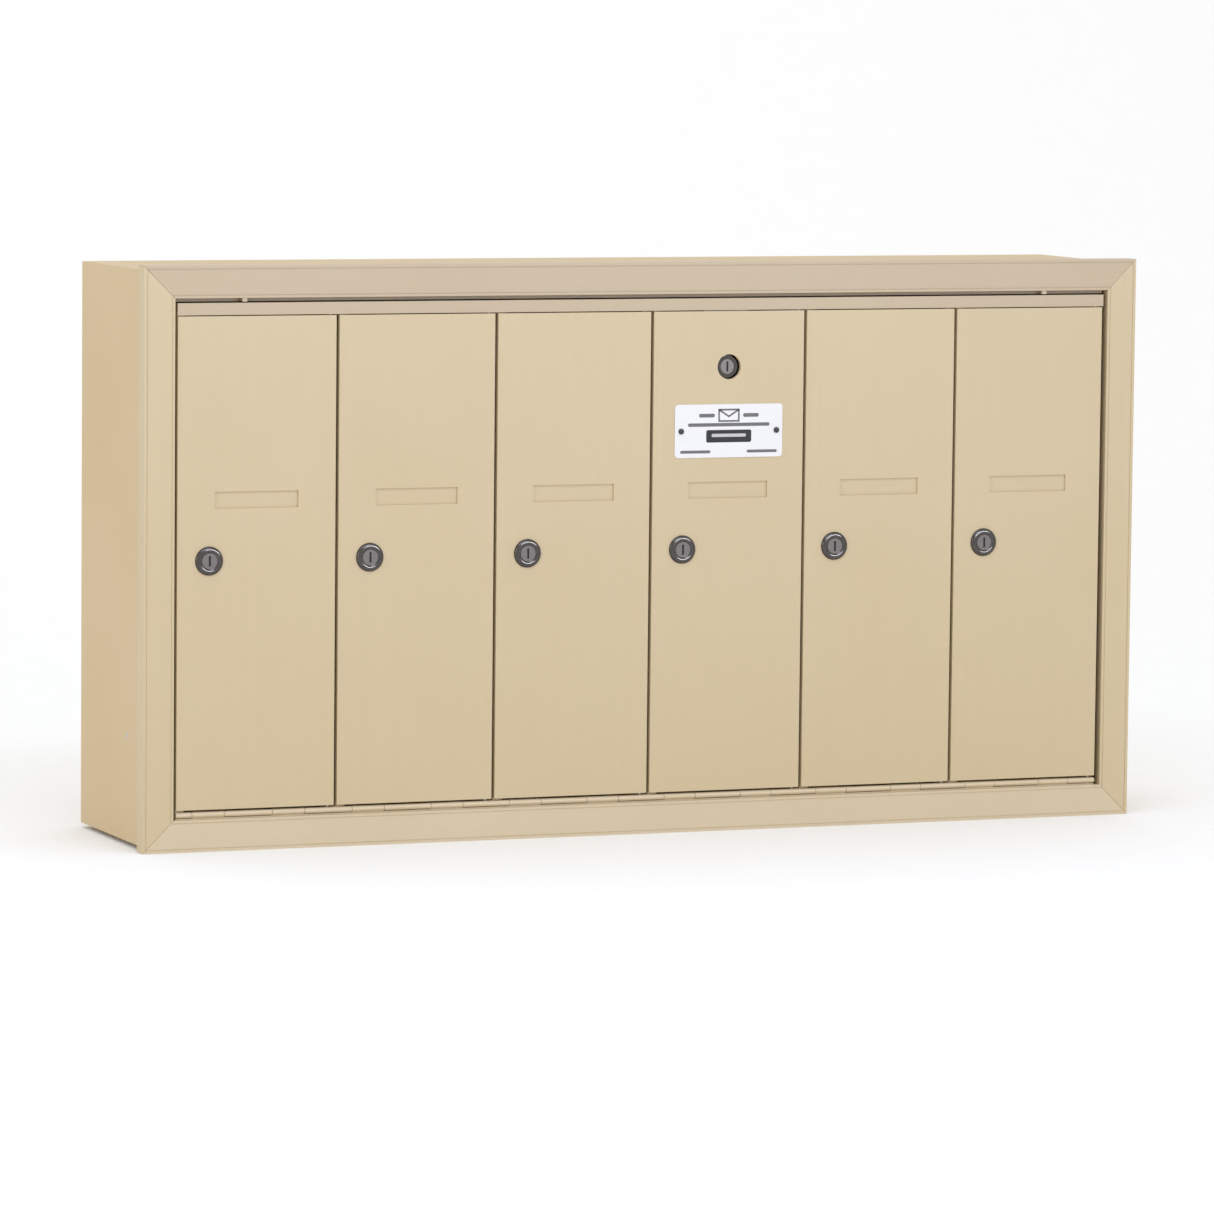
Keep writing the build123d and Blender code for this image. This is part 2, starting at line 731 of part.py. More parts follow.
def plug(x, z, d_face, r, d_body, d_tail, slot_deep):
    """Key plug: face with an upright key slot, barrel and a tail with two flats."""
    body = rod_y(x, d_face, d_body, z, r)
    body -= block(x - key_slot_w / 2, x + key_slot_w / 2, d_face, d_face + slot_deep, z - key_slot_h / 2, z + key_slot_h / 2)
    tail = rod_y(x, d_body, d_tail, z, tail_r)
    tail &= block(x - tail_flat, x + tail_flat, d_body, d_tail, z - tail_r, z + tail_r)
    return body + tail


def tenant_plug(index):
    face = face_set - bezel_proud + plug_set
    return plug(lock_x(index), lock_z, face, plug_r, cam_d0 - cam_nut_air, cam_d1 + cam_nut_t, key_slot_deep)


def cam(x, z, d0, reach, angle):
    """Flat cam with a round boss end, pointing down before it is turned, and its retaining nut."""
    d1 = d0 + cam_t
    arm = block(-cam_half_w, cam_half_w, d0, d1, -reach, 0)
    arm += rod_y(0, d0, d1, 0, cam_half_w + cam_t / 2)
    arm = Rot(0, angle, 0) * Pos(0, -y_trim, 0) * arm
    arm = Pos(x, y_trim, z) * arm
    hole = rod_y(x, d0, d1, z, tail_r + stay_air)
    hole &= block(x - tail_flat - stay_air, x + tail_flat + stay_air, d0, d1, z - lock_r, z + lock_r)
    nut = rod_y(x, d1, d1 + cam_nut_t, z, cam_nut_r) - rod_y(x, d1, d1 + cam_nut_t, z, tail_r + stay_air)
    return group([arm - hole, nut])


def tenant_cam(index):
    return cam(lock_x(index), lock_z, cam_d0, cam_reach, 0)


def label_plate():
    """Notice plate on the door below the master lock."""
    z = door_z1 - plate_drop
    plate = block(master_x - plate_w / 2, master_x + plate_w / 2, face_set - plate_t, face_set, z - plate_h / 2, z + plate_h / 2)
    plate = fillet(plate.edges().filter_by(Axis.Y), plate_corner)
    for x in (master_x - plate_rivet_span / 2, master_x + plate_rivet_span / 2):
        plate -= rod_y(x, face_set - 2 * plate_t, face_set + plate_t, z, plate_rivet_r + rivet_air)
    return plate


def label_rivets():
    found = []
    z = door_z1 - plate_drop
    front = face_set - plate_t
    for x in (master_x - plate_rivet_span / 2, master_x + plate_rivet_span / 2):
        shank = rod_y(x, front, door_back, z, plate_rivet_r)
        head = rod_y(x, front - plate_head_h, front, z, plate_head_r)
        tail = rod_y(x, door_back, door_back + plate_head_h, z, plate_head_r)
        found.append(shank + head + tail)
    return group(found)


# Master lock
def bracket_screw_x():
    return (master_x - bracket_half / 2, master_x + bracket_half / 2)


def lock_bracket():
    """Angle bracket under the top rail, behind one tenant door, that carries the master lock."""
    x0 = master_x - bracket_half
    x1 = master_x + bracket_half
    top = block(x0, x1, bracket_d0, post_end, rail_z0 - bracket_t, rail_z0)
    wall = block(x0, x1, bracket_d0, bracket_d0 + bracket_t, master_z - bracket_below, rail_z0)
    bracket = top + wall
    bracket -= rod_y(master_x, bracket_d0 - bracket_t, bracket_d0 + 2 * bracket_t, master_z, master_lock_r + stay_air)
    for x in bracket_screw_x():
        bracket -= rod_z(x, port_d, rail_z0 - 2 * bracket_t, rail_z0 + bracket_t, screw_r + screw_clear)
    return bracket


def master_housing():
    """Lock barrel with a collar against the bracket, clamped by a hex nut."""
    barrel = rod_y(master_x, master_face, master_cam_d0 - cam_gap, master_z, master_lock_r)
    barrel += rod_y(master_x, bracket_d0 - collar_t, bracket_d0, master_z, collar_r)
    barrel -= rod_y(master_x, master_face - collar_t, master_cam_d0, master_z, master_plug_r + plug_fit)
    d0 = bracket_d0 + bracket_t
    nut = hex_nut(master_x, master_z, d0, d0 + nut_t, nut_flat_r, master_lock_r + stay_air)
    return group([barrel, nut])


def master_plug():
    face = master_face + plug_set
    return plug(master_x, master_z, face, master_plug_r, master_cam_d0 - cam_nut_air, master_cam_d1 + cam_nut_t, key_slot_deep)


def master_cam():
    return cam(master_x, master_z, master_cam_d0, master_cam_reach, 90)


def strike_rivet_x():
    return (master_x - strike_half / 2, master_x + strike_half / 2)


strike_rivet_d = strike_d1 + (strike_foot - strike_t) / 2


def master_strike():
    """Angle that hangs from the top panel, in front of the master cam when it is turned up."""
    x0 = master_x - strike_half
    x1 = master_x + strike_half
    z1 = case_z1 - sheet_t
    wall = block(x0, x1, strike_d0, strike_d1, strike_z0, z1)
    foot = block(x0, x1, strike_d0, strike_d0 + strike_foot, z1 - strike_t, z1)
    strike = wall + foot
    for x in strike_rivet_x():
        strike -= rod_z(x, strike_rivet_d, z1 - 2 * strike_t, z1 + sheet_t, rivet_r + rivet_air)
    return strike


# Stay arms
def stay_arm(sx, x_in):
    """Slotted link from the stile's pivot to the stud on the enclosure's side."""
    xa = x_in - sx * stay_gap
    xb = xa - sx * stay_t
    x0 = min(xa, xb)
    length = slot_far + stay_half_w
    bar = SlotCenterToCenter(length, 2 * stay_half_w)
    slot = SlotCenterToCenter(slot_far - slot_near + 2 * slot_end_air, 2 * slot_half_w)
    hole = Circle(stud_r + pin_fit)
    mid = (slot_far + slot_near) / 2
    shape = Pos(length / 2, 0) * bar - Pos(mid, 0) * slot - hole
    plane = Plane(origin=(x0, y_trim + port_d, stay_a_z), x_dir=(0, 1, 0), z_dir=(1, 0, 0))
    arm = extrude(plane * Rot(0, 0, stay_tilt_deg) * shape, amount=stay_t)
    return arm


def stay_stud(sx, x_in):
    """Stud riveted through the side panel, with a base and a head that keeps the arm on."""
    panel_in = sx * (case_x - sheet_t)
    arm_near = x_in - sx * (stay_gap - stay_air)
    arm_far = x_in - sx * (stay_gap + stay_t + stay_air)
    head_end = arm_far - sx * stud_head_t
    tail_r_small = stud_base_r - stud_head_r - rivet_air
    shank = rod_x(*sorted((panel_in, head_end)), stay_b_d, stay_b_z, stud_r)
    base = rod_x(*sorted((panel_in, panel_in - sx * stud_base_t)), stay_b_d, stay_b_z, stud_base_r)
    collar = rod_x(*sorted((arm_near, arm_near + sx * stud_head_t)), stay_b_d, stay_b_z, stud_head_r)
    head = rod_x(*sorted((arm_far, head_end)), stay_b_d, stay_b_z, stud_head_r)
    tail = rod_x(*sorted((panel_in, panel_in + sx * sheet_t)), stay_b_d, stay_b_z, tail_r_small)
    return shank + base + collar + head + tail


def top_bumpers():
    """Nylon pads under the top trim that guide the master door's top rail."""
    pads = []
    for sx in (-1, 1):
        x = sx * (open_x - bumper_in)
        pads.append(block(x - bumper_w / 2, x + bumper_w / 2, face_set, face_set + bumper_deep, open_z1 - bumper_h, open_z1))
    return group(pads)


def build():
    os.makedirs("parts", exist_ok=True)
    for side in ("top", "bottom", "left", "right"):
        save("trim_" + side, drill_trim(trim_bar(side), side))
    save("trim_corner_keys", corner_keys())
    save("left_side_panel", side_panel(-1))
    save("right_side_panel", side_panel(1))
    save("top_panel", flat_panel(True))
    save("bottom_panel", flat_panel(False))
    save("back_panel", back_panel())
    save("partitions", group([partition(i) for i in range(door_count - 1)]))
    save("enclosure_rivets", enclosure_rivets())
    save("hinge_fixed_leaf", fixed_leaf())
    save("hinge_leaf_rivets", group(leaf_rivets()))
    save("hinge_pin", hinge_pin())
    save("master_strike", master_strike())
    save("stay_studs", group([stay_stud(-1, left_post_x1), stay_stud(1, right_post_x0)]))
    save("top_bumpers", top_bumpers())
    save("master_bottom_bar", bottom_bar())
    save("master_top_rail", top_rail())
    save("master_left_stile", left_stile())
    save("master_right_stile", right_stile())
    save("master_mullions", group([mullion(i) for i in range(door_count - 1)]))
    save("master_frame_fasteners", frame_fasteners())
    save("door_hinge_pins", door_pins())
    save("master_lock_bracket", lock_bracket())
    save("master_lock_housing", master_housing())
    save("master_lock_plug", master_plug())
    save("master_lock_cam", master_cam())
    save("stay_arm_left", stay_arm(-1, left_post_x1))
    save("stay_arm_right", stay_arm(1, right_post_x0))
    for index in range(door_count):
        name = "door_" + str(index + 1)
        save(name + "_panel", door_panel(index))
        save(name + "_lock_housing", lock_housing(index))
        save(name + "_lock_plug", tenant_plug(index))
        save(name + "_lock_cam", tenant_cam(index))
    save("label_plate", label_plate())
    save("label_rivets", label_rivets())


build()
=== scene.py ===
# %% [markdown]
# # A recessed mailbox unit: finishes and small parts around a fixed frame
# The unit's sheet metal, doors, hinges and locks arrive as finished solids in metres. This lesson
# gives each solid the finish of the real one, with painted shade and light on a few, and adds the
# small turned and printed pieces that a solid modeller leaves plain: lock barrels with their threads
# and nuts, dark plates of painted shade in the key slots, rivet domes and the notice plate's artwork.

# %% Load the frame
import math
import bmesh
import bpy
import numpy as np
from mathutils import Matrix, Vector


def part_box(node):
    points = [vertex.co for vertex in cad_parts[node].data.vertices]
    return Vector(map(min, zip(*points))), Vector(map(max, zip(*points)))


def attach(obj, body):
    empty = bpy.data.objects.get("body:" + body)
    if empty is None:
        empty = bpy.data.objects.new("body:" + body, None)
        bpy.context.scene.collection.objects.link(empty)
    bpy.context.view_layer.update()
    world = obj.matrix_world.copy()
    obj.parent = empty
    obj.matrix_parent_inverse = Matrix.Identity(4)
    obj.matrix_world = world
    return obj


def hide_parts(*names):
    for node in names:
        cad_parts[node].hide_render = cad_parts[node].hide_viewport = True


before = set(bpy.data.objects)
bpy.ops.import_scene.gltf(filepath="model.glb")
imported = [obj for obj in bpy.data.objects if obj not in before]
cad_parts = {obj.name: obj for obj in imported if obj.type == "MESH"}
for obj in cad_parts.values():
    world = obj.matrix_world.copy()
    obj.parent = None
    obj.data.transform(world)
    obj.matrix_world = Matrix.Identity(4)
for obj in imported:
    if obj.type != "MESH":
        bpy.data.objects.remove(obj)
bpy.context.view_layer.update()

# %% [markdown]
# ## Where things are
# Every position below is read from the solids' own boxes, so a change of size in the frame moves
# the finishing pieces with it. A box is a lowest and a highest corner, in metres.

# %% Boxes and centres
MM = 0.001
MOST_DOORS = 19


def low(node):
    """Lowest corner of a node's box, as an array."""
    return np.array(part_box(node)[0], dtype=float)


def high(node):
    """Highest corner of a node's box, as an array."""
    return np.array(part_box(node)[1], dtype=float)


def centre(node):
    """Middle of a node's box: the mean of its two corners."""
    return (low(node) + high(node)) / 2


door_numbers = [n for n in range(1, MOST_DOORS + 1) if f"door_{n}_panel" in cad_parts]
unit_size = high("trim_top") - low("trim_bottom")
print("doors", len(door_numbers), "trim width and height", unit_size.round(4))

# %% [markdown]
# ## Colour
# A paint card is read as sRGB hex, but a shader wants linear light. One function turns one into
# the other with the standard curve: the low end is a straight line and the rest a power of 2.4.


# %% sRGB to linear
def linear(hex_colour, alpha=1.0):
    """Linear RGBA of an sRGB hex string: c/12.92 below 0.04045, else ((c+0.055)/1.055)^2.4."""
    rgb = np.array([int(hex_colour[i:i + 2], 16) for i in (1, 3, 5)]) / 255
    lin = np.where(rgb <= 0.04045, rgb / 12.92, ((rgb + 0.055) / 1.055) ** 2.4)
    return (*lin.tolist(), alpha)


print("middle grey, linear:", np.round(linear("#808080"), 3))


# %% [markdown]
# ## One way to add a node
# All the finishes are small node trees. A single helper adds a node, sets its values and links its
# inputs, which keeps each material short enough to read as a recipe.

# %% Node helper
def add(tree, kind, values=None, links=None, **settings):
    """Add a node of a kind, set its settings, input values and input links, and return it."""
    item = tree.nodes.new(kind)
    for key, value in settings.items():
        setattr(item, key, value)
    for key, value in (values or {}).items():
        item.inputs[key].default_value = value
    for key, socket in (links or {}).items():
        tree.links.new(socket, item.inputs[key])
    return item


def start_material(name):
    """New material with its nodes cleared, and the coordinates of the piece itself."""
    material = bpy.data.materials.new(name)
    material.use_nodes = True
    tree = material.node_tree
    tree.nodes.clear()
    place = add(tree, "ShaderNodeTexCoord").outputs["Object"]
    return material, tree, place


def finish_material(tree, shader):
    """Join a shader to the material's output."""
    add(tree, "ShaderNodeOutputMaterial", links={"Surface": shader.outputs["BSDF"]})


print("node helper ready")


# %% [markdown]
# ## Powder coat
# The doors and trim are extruded aluminium under a baked powder coat, and the case is sheet metal
# with the same coat. Powder melts into a satin skin with a faint orange-peel ripple, about 2 mm
# from crest to crest, and over an extrusion the die's long straight lines still show through it.
# The ripple is a bump that is far too low to see as shape, so it only breaks up reflections. The
# die lines are noise stretched along the length of the piece, kept so faint that they only just
# streak the sheen, and the colour drifts by a few percent over a hand's width, as a coat of uneven
# thickness does. The level bars are a shade darker than the doors, as painted shade, and the sill a
# shade paler, as painted light. The case differs a little in tone and has a duller, flatter coat.

# %% Powder coat material
PEEL = 2.2 * MM
DIE_LINE = 3.5 * MM
DRIFT = 120 * MM
LINE_SHARE = 0.012
LINE_STRETCH = 1.2
LINE_LOW, LINE_HIGH = 0.35, 0.65
GLOSS_SPAN = 0.04
PEEL_BUMP = {"Strength": 0.2, "Distance": 0.04 * MM}
LINE_BUMP = {"Strength": 0.12, "Distance": 0.01 * MM}
GLASSY_IOR = 1.5


def powder_coat(name, base, thick, rough, along=None, sheen=0.5):
    """Satin baked powder; along is 0 or 2 where die lines run along X or Z. A sheen of 0.5 is the
    full mirror share of a clear skin, and less is a flatter coat."""
    material, tree, place = start_material(name)
    drift = add(tree, "ShaderNodeTexNoise", {"Scale": 1 / DRIFT, "Detail": 3.0}, {"Vector": place})
    lines_scale = [1 / DIE_LINE] * 3
    if along is not None:
        lines_scale[along] = LINE_STRETCH
    stretch = add(tree, "ShaderNodeMapping", {"Scale": lines_scale}, {"Vector": place})
    lines = add(tree, "ShaderNodeTexNoise", {"Scale": 1.0, "Detail": 2.0},
                {"Vector": stretch.outputs[0]})
    peel = add(tree, "ShaderNodeTexNoise", {"Scale": 1 / PEEL, "Detail": 2.0}, {"Vector": place})
    tone = add(tree, "ShaderNodeMix", {}, {"Factor": drift.outputs["Fac"]}, data_type="RGBA")
    tone.inputs["A"].default_value = linear(base)
    tone.inputs["B"].default_value = linear(thick)
    half = LINE_SHARE / 2 if along is not None else 0.0
    shade = add(tree, "ShaderNodeMapRange",
                {"From Min": LINE_LOW, "From Max": LINE_HIGH, "To Min": 1 - half, "To Max": 1 + half},
                {"Value": lines.outputs["Fac"]})
    paint = add(tree, "ShaderNodeVectorMath", {},
                {0: tone.outputs["Result"], "Scale": shade.outputs[0]}, operation="SCALE")
    gloss = add(tree, "ShaderNodeMapRange",
                {"To Min": rough - GLOSS_SPAN, "To Max": rough + GLOSS_SPAN},
                {"Value": drift.outputs["Fac"]})
    fine = add(tree, "ShaderNodeBump", PEEL_BUMP, {"Height": peel.outputs["Fac"]})
    normal = fine.outputs[0]
    if along is not None:
        ridge = add(tree, "ShaderNodeBump", LINE_BUMP,
                    {"Height": lines.outputs["Fac"], "Normal": normal})
        normal = ridge.outputs[0]
    shader = add(tree, "ShaderNodeBsdfPrincipled", {"IOR": GLASSY_IOR, "Specular IOR Level": sheen},
                 {"Base Color": paint.outputs[0], "Roughness": gloss.outputs[0], "Normal": normal})
    finish_material(tree, shader)
    return material


# Satin with faint upright streaks: the doors and side lengths read as extrusions, not board.
coat_upright = powder_coat("powder_coat_on_upright_extrusion", "#CAB792", "#C4AF88", 0.42, along=2)
# A shade browner as painted shade, so the level head of the frame parts from the doors under it.
coat_level_painted_shade = powder_coat("powder_coat_darkened_as_painted_shade_on_level_extrusion", "#BDA98B", "#B7A384", 0.42, along=0)
# A shade paler as painted light, so the sill catches the eye as the nearest level edge.
coat_sill_painted_light = powder_coat("powder_coat_paled_as_painted_light_on_sill_extrusion", "#D0BE9E", "#CAB795", 0.42, along=0)
# Dull and even, so the case stays behind the glossier front.
coat_sheet = powder_coat("flat_powder_coat_on_sheet_metal", "#CFB993", "#C9B28B", 0.55, sheen=0.2)
print("powder coats:", coat_upright.name, coat_level_painted_shade.name, coat_sill_painted_light.name, coat_sheet.name)

# %% [markdown]
# ## Bare metals
# Locks are chrome-plated zinc castings. Their chrome is tinted dark grey as a painted reflection of
# darker surroundings, so the bezel reads as dark grey with one soft highlight even in a white room; the
# plug's face, rubbed by keys, is a little rougher, and its painted reflection a little paler. Brackets,
# cams, pins and screws are steel with a clear zinc plate, which is duller and faintly mottled at about 6
# mm.


# %% Plated metals
MOTTLE_STRENGTH = 0.3
SMOOTHEST, ROUGHEST = 0.8, 1.25


def bare_metal(name, tint, second, rough, mottle, depth=0.02 * MM):
    """Metal whose tint and roughness vary over patches of a given size, mottle, in metres."""
    material, tree, place = start_material(name)
    patch = add(tree, "ShaderNodeTexNoise", {"Scale": 1 / mottle, "Detail": 3.0}, {"Vector": place})
    colour = add(tree, "ShaderNodeMix", {}, {"Factor": patch.outputs["Fac"]}, data_type="RGBA")
    colour.inputs["A"].default_value = linear(tint)
    colour.inputs["B"].default_value = linear(second)
    gloss = add(tree, "ShaderNodeMapRange", {"To Min": rough * SMOOTHEST, "To Max": rough * ROUGHEST},
                {"Value": patch.outputs["Fac"]})
    bump = add(tree, "ShaderNodeBump", {"Strength": MOTTLE_STRENGTH, "Distance": depth},
               {"Height": patch.outputs["Fac"]})
    shader = add(tree, "ShaderNodeBsdfPrincipled", {"Metallic": 1.0},
                 {"Base Color": colour.outputs["Result"], "Roughness": gloss.outputs[0],
                  "Normal": bump.outputs[0]})
    finish_material(tree, shader)
    return material


# A mirror tinted dark grey as a painted reflection of dark surroundings: each bezel shows as one grey
# ring with a single bright spot.
chrome = bare_metal("chrome_darkened_as_painted_reflection", "#605C5A", "#4C4846", 0.13, 4 * MM,
                    depth=0.005 * MM)
# Paler and blurred, so the plug's face parts from the bezel round it: the blur is key wear, the pale grey
# tint a painted reflection.
plug_chrome_worn_with_painted_reflection = bare_metal("chrome_worn_by_keys_with_painted_reflection", "#7E7A78", "#655F5D", 0.26, 1.2 * MM)
# Bluish, mottled grey: hardware reads as bare steel against the paint.
zinc = bare_metal("clear_zinc_plated_steel", "#B9BBBE", "#A9AAA8", 0.34, 6 * MM)
print("metals:", chrome.name, plug_chrome_worn_with_painted_reflection.name, zinc.name)


# %% [markdown]
# ## Enamel, ink and plastic
# The notice plate is thin aluminium with a fired white enamel, printed in black and grey ink. Its
# rivets are blackened steel. The two guide pads are tan nylon, which is waxy and lets a little light
# in under its skin.

# %% Non-metals
PATCH_GRAINS = 12
TOOTH_STRENGTH = 0.3
NON_METAL_SPAN = 0.05


def coated(name, base, second, rough, grain, depth, under=0.0):
    """Plain coloured surface with a slow tint change and a fine grain of a given size."""
    material, tree, place = start_material(name)
    patch = add(tree, "ShaderNodeTexNoise", {"Scale": 1 / (grain * PATCH_GRAINS), "Detail": 2.0},
                {"Vector": place})
    tooth = add(tree, "ShaderNodeTexNoise", {"Scale": 1 / grain, "Detail": 2.0}, {"Vector": place})
    colour = add(tree, "ShaderNodeMix", {}, {"Factor": patch.outputs["Fac"]}, data_type="RGBA")
    colour.inputs["A"].default_value = linear(base)
    colour.inputs["B"].default_value = linear(second)
    gloss = add(tree, "ShaderNodeMapRange",
                {"To Min": rough - NON_METAL_SPAN, "To Max": rough + NON_METAL_SPAN},
                {"Value": patch.outputs["Fac"]})
    bump = add(tree, "ShaderNodeBump", {"Strength": TOOTH_STRENGTH, "Distance": depth},
               {"Height": tooth.outputs["Fac"]})
    shader = add(tree, "ShaderNodeBsdfPrincipled",
                 {"IOR": GLASSY_IOR, "Subsurface Weight": under, "Subsurface Scale": 1.0 * MM},
                 {"Base Color": colour.outputs["Result"], "Roughness": gloss.outputs[0],
                  "Normal": bump.outputs[0]})
    finish_material(tree, shader)
    return material


# The one clean white on the unit, glossy enough to stand out from the coat.
enamel = coated("fired_white_enamel", "#E9E8E8", "#E2E0E0", 0.30, 0.8 * MM, 0.01 * MM)
# Three flat inks: a near black block, a pale line on it, and softer grey marks.
ink_black = coated("printed_black_ink", "#090808", "#100F0E", 0.62, 0.4 * MM, 0.01 * MM)
ink_pale = coated("printed_pale_ink", "#B9B6B4", "#C2BFBD", 0.50, 0.4 * MM, 0.01 * MM)
ink_grey = coated("printed_grey_ink", "#5F5D5C", "#6B6968", 0.60, 0.4 * MM, 0.01 * MM)
# Small dark dots, black of their own, and the strike, blackened as painted shade of the dark gap it sits
# in; all dull so that they never sparkle.
rivet_black_and_gap_shade = coated("blackened_steel", "#161413", "#1F1C1A", 0.50, 0.6 * MM, 0.02 * MM)
# Near black as painted shade: almost no light comes back, so the key slot reads as a hole.
slot_shade_black = coated("near_black_painted_shade_in_key_slot", "#060506", "#0E0C0D", 0.60, 0.5 * MM, 0.02 * MM)
# Waxy and a little see-through, softer than the paint round it.
nylon = coated("tan_moulded_nylon", "#C4B397", "#BBAA8D", 0.42, 0.7 * MM, 0.02 * MM, under=0.15)
print("non-metals:", enamel.name, ink_black.name, nylon.name)

# %% [markdown]
# ## Dressing the frame's solids
# Upright pieces get the coat with upright die lines and level pieces the other, because the lines
# follow the way each length left its die. Hidden hardware is zinc plated.

# %% Assign finishes to the solids
finishes = {}
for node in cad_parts:
    finishes[node] = coat_sheet
    if node.endswith("_panel") and node.startswith("door_"):
        finishes[node] = coat_upright
    if node.endswith("_lock_plug"):
        finishes[node] = plug_chrome_worn_with_painted_reflection
    if node.endswith("_lock_cam") or node.startswith("stay_"):
        finishes[node] = zinc
for node in ("trim_left", "trim_right", "master_left_stile", "master_right_stile", "master_mullions"):
    finishes[node] = coat_upright
# The head pieces carry painted shade: a browner coat than the doors.
for node in ("trim_top", "master_top_rail"):
    finishes[node] = coat_level_painted_shade
# The sill pieces carry painted light: a paler coat than the doors.
for node in ("trim_bottom", "master_bottom_bar", "hinge_fixed_leaf"):
    finishes[node] = coat_sill_painted_light
for node in ("trim_corner_keys", "enclosure_rivets", "hinge_leaf_rivets", "hinge_pin", "stay_studs",
             "master_frame_fasteners", "door_hinge_pins", "master_lock_bracket"):
    finishes[node] = zinc
finishes["master_lock_housing"] = chrome
# The strike's black is painted shade: it sits in the dark gap above the top rail.
finishes["master_strike"] = rivet_black_and_gap_shade
finishes["top_bumpers"] = nylon
finishes["label_plate"] = enamel
finishes["label_rivets"] = rivet_black_and_gap_shade


def dress(node, material):
    """Give every material slot of a node's object one finish."""
    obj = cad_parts[node]
    obj = obj if hasattr(obj, "data") else bpy.data.objects[node]
    if not obj.data.materials:
        obj.data.materials.append(material)
    for i in range(len(obj.data.materials)):
        obj.data.materials[i] = material


for node, material in finishes.items():
    dress(node, material)
print("dressed", len(finishes), "solids")


# %% [markdown]
# ## Surfaces from numbers
# A turned part is one profile carried round an axis. The profile gives radius against depth, and
# the whole grid of points is worked out in one array: each ring is the profile's radius times a
# unit circle. Both ends of the profile sit on the axis, so each closes in a single point.

# %% Turned surface
def make_mesh(name, points, faces, material, smooth=True):
    """Mesh object at the origin from arrays of points and faces, with one finish."""
    mesh = bpy.data.meshes.new(name)
    mesh.from_pydata(np.asarray(points).tolist(), [], [list(map(int, f)) for f in faces])
    mesh.update()
    mesh.polygons.foreach_set("use_smooth", [smooth] * len(mesh.polygons))
    mesh.materials.append(material)
    obj = bpy.data.objects.new(name, mesh)
    bpy.context.scene.collection.objects.link(obj)
    return obj


def turned(name, profile, x, z, material, count=96):
    """Profile (radius, y) carried round the line through (x, z) along Y. Point (i, j) of the grid is
    (x + r_i cos a_j, y_i, z + r_i sin a_j); the first and last profile points lie on the axis."""
    profile = np.asarray(profile, dtype=float)
    angle = np.arange(count) * 2 * math.pi / count
    r = profile[1:-1, 0][:, None]
    y = profile[1:-1, 1][:, None] + np.zeros(count)
    grid = np.stack([x + r * np.cos(angle), y, z + r * np.sin(angle)], axis=-1).reshape(-1, 3)
    rows = len(profile) - 2
    i, j = np.meshgrid(np.arange(rows - 1), np.arange(count), indexing="ij")
    k = (j + 1) % count
    quads = np.stack([i * count + j, i * count + k, (i + 1) * count + k, (i + 1) * count + j], -1)
    quads = quads.reshape(-1, 4)
    ends = np.array([[x, profile[0, 1], z], [x, profile[-1, 1], z]])
    points = np.concatenate([grid, ends])
    ring = np.arange(count)
    nxt = (ring + 1) % count
    first = np.stack([np.full(count, rows * count), nxt, ring], -1)
    base = (rows - 1) * count
    last = np.stack([np.full(count, rows * count + 1), base + ring, base + nxt], -1)
    return make_mesh(name, points, quads.tolist() + first.tolist() + last.tolist(), material)


print("turned surfaces ready")


# %% [markdown]
# ## Flat shapes with a thickness
# A printed bar or a shade plate in a key slot is an outline pushed straight back. The outline is a closed
# loop of points, the front and back are one face each and the wall is a strip of quads.

# %% Pushed outline
def pushed(name, outline, y0, y1, material, smooth=False):
    """Closed (x, z) outline carried from depth y0 to y1; wall quad j joins points j and j+1."""
    outline = np.asarray(outline, dtype=float)
    count = len(outline)
    front = np.stack([outline[:, 0], np.full(count, y0), outline[:, 1]], -1)
    back = front + np.array([0, y1 - y0, 0])
    j = np.arange(count)
    k = (j + 1) % count
    wall = np.stack([j, j + count, k + count, k], -1).tolist()
    faces = wall + [list(range(count)), list(range(2 * count - 1, count - 1, -1))]
    return make_mesh(name, np.concatenate([front, back]), faces, material, smooth)


def round_box(x, z, width, height, radius, steps=8):
    """Outline of a rectangle with round corners: four quarter circles, anticlockwise from the front."""
    angle = np.linspace(0, math.pi / 2, steps)
    arc = radius * np.stack([np.cos(angle), np.sin(angle)], -1)
    turns = [(1, 1, 0), (-1, 1, 1), (-1, -1, 2), (1, -1, 3)]
    loops = []
    for sx, sz, quarter in turns:
        c, s = math.cos(quarter * math.pi / 2), math.sin(quarter * math.pi / 2)
        corner = np.array([x + sx * (width / 2 - radius), z + sz * (height / 2 - radius)])
        loops.append(corner + arc @ np.array([[c, s], [-s, c]]))
    return np.concatenate(loops)


print("rounded outline has", len(round_box(0, 0, 2, 1, 0.2)), "points")


# %% [markdown]
# ## Lock barrels
# Each lock is one casting: a domed bezel that sits on the door, and a barrel with a fine thread for
# its clamping nut. On the profile the bezel is a quarter ellipse that rolls over to a shallow dish
# round the plug, and the thread is a row of ridges 1 mm apart and 0.35 mm deep. A real thread is a
# helix, but rings of the same pitch look the same at this size and close without a seam.

# %% Lock barrel profile
BEZEL_R = 12.0 * MM
BARREL_R = 9.5 * MM
NECK_R = 9.4 * MM
TAIL_R = 9.0 * MM
DOOR_THICK = 3.2 * MM
NUT_THICK = 3.0 * MM
PLUG_PLAY = 0.05 * MM
THREAD_PITCH = 1.0 * MM
THREAD_DEEP = 0.35 * MM
THREAD_LEAD_IN = 0.3 * MM
THREAD_LEAD_OUT = 0.6 * MM
CREST_AT = 0.42
DISH_DEPTH = 0.32


def thread_profile(radius, y0, y1):
    """Ridges between two depths: radius falls by THREAD_DEEP half way along each pitch."""
    turns = int((y1 - y0) / THREAD_PITCH)
    y = y0 + np.arange(2 * turns + 1) * THREAD_PITCH / 2
    r = radius - THREAD_DEEP * (np.arange(2 * turns + 1) % 2)
    return np.stack([r, y], -1)


